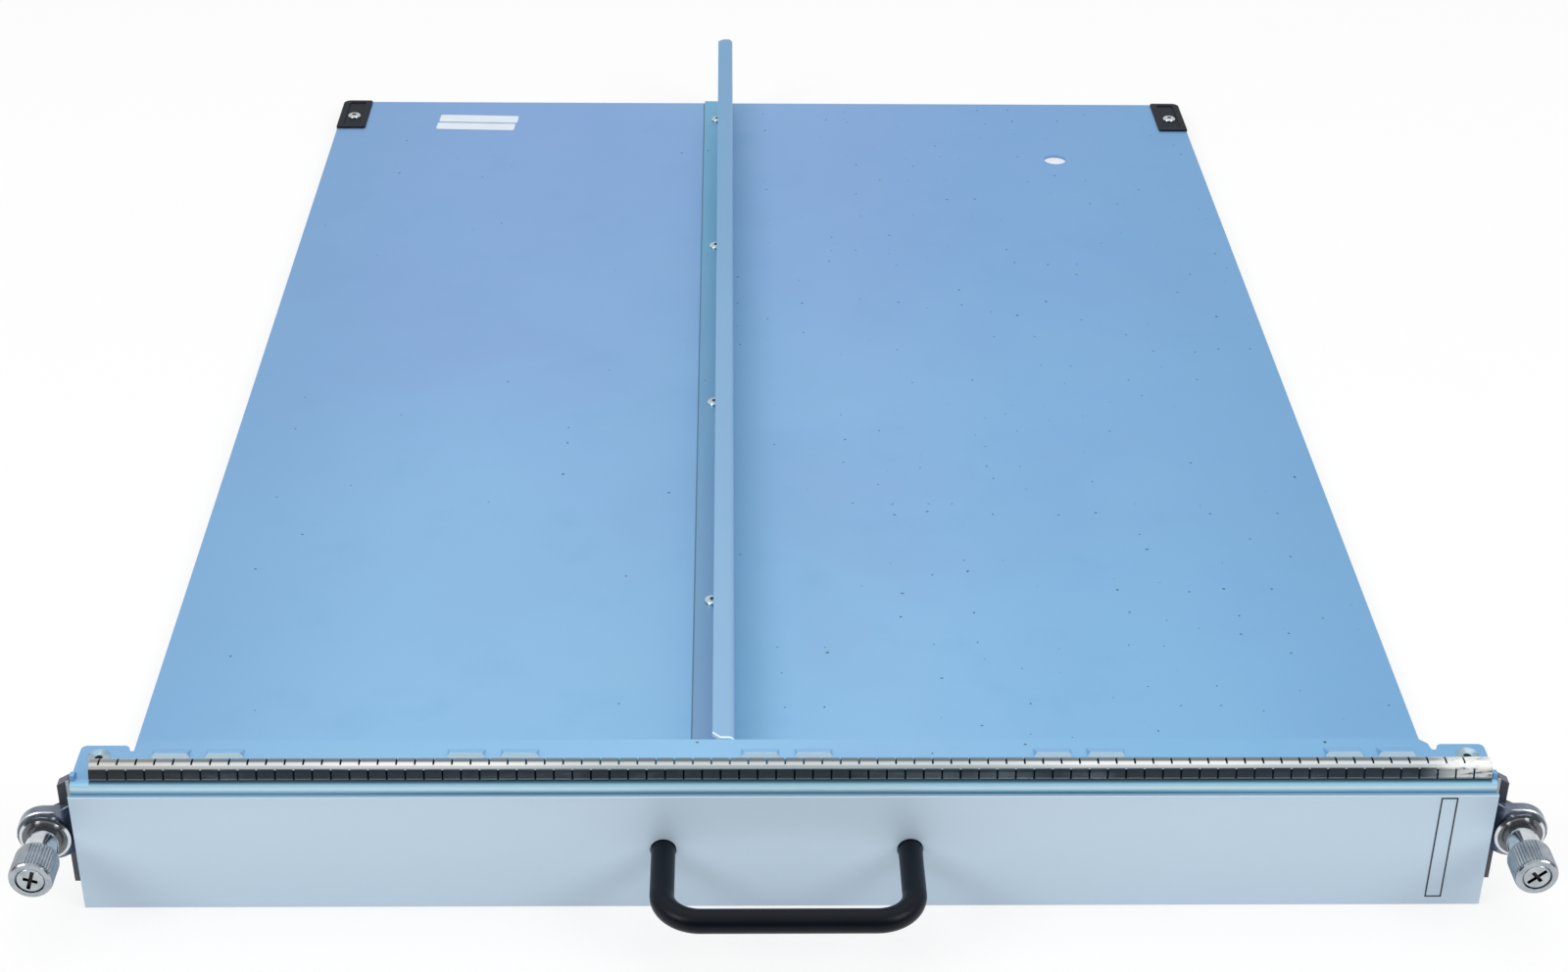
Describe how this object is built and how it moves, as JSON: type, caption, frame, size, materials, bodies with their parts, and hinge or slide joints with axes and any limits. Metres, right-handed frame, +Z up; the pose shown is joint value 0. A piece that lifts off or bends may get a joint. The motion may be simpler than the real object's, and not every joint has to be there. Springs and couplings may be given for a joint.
{
  "type": "line card slot filler",
  "caption": "Folded sheet metal blank that closes an empty card slot, with a front panel, bow handle, spring finger gasket, air baffle and captive thumbscrews on end ears.",
  "frame": {"origin": "middle of the bounding box in plan, on the surface that the filler lies on", "axes": "+X to the right along the panel, +Y from the panel towards the tray's rear edge, +Z up"},
  "size_m": [0.3996, 0.5748, 0.0439],
  "materials": {
    "plated_sheet": "satin",
    "silver_panel": "satin",
    "spring_strip": "bright",
    "black_bar": "semi-gloss",
    "black_plastic": "matte",
    "bracket_steel": "satin",
    "bright_steel": "bright",
    "rivet_steel": "satin"
  },
  "bodies": {
    "filler_frame": {"carrier_tray": "plated_sheet", "front_panel": "silver_panel", "finger_gasket": "spring_strip", "pull_handle": "black_bar", "handle_screws": "rivet_steel", "air_baffle": "plated_sheet", "baffle_rivets": "rivet_steel", "left_corner_guide": "black_plastic", "right_corner_guide": "black_plastic", "guide_rivets": "rivet_steel", "left_ear_bracket": "bracket_steel", "right_ear_bracket": "bracket_steel", "flange_rivets": "rivet_steel", "foot_rivets": "rivet_steel", "left_screw_retainer": "bright_steel", "right_screw_retainer": "bright_steel"},
    "left_spring": {"left_screw_spring": "spring_strip"},
    "left_thumbscrew": {"left_screw_knob": "bright_steel", "left_captive_screw": "bright_steel"},
    "right_spring": {"right_screw_spring": "spring_strip"},
    "right_thumbscrew": {"right_screw_knob": "bright_steel", "right_captive_screw": "bright_steel"}
  },
  "joints": [
    {"name": "left_push", "type": "slide", "parent": "filler_frame", "child": "left_spring", "axis": [0, 1, 0], "range_m": [0, 0.0055], "stiffness_N_per_m": 400, "springref_m": -0.004, "deforming": ["left_screw_spring"]},
    {"name": "left_turn", "type": "hinge", "parent": "left_spring", "child": "left_thumbscrew", "pos_m": [-0.1922, -0.24916, 0.0235], "axis": [0, 1, 0], "continuous": true},
    {"name": "right_push", "type": "slide", "parent": "filler_frame", "child": "right_spring", "axis": [0, 1, 0], "range_m": [0, 0.0055], "stiffness_N_per_m": 400, "springref_m": -0.004, "deforming": ["right_screw_spring"]},
    {"name": "right_turn", "type": "hinge", "parent": "right_spring", "child": "right_thumbscrew", "pos_m": [0.1922, -0.24916, 0.0235], "axis": [0, 1, 0], "continuous": true}
  ]
}
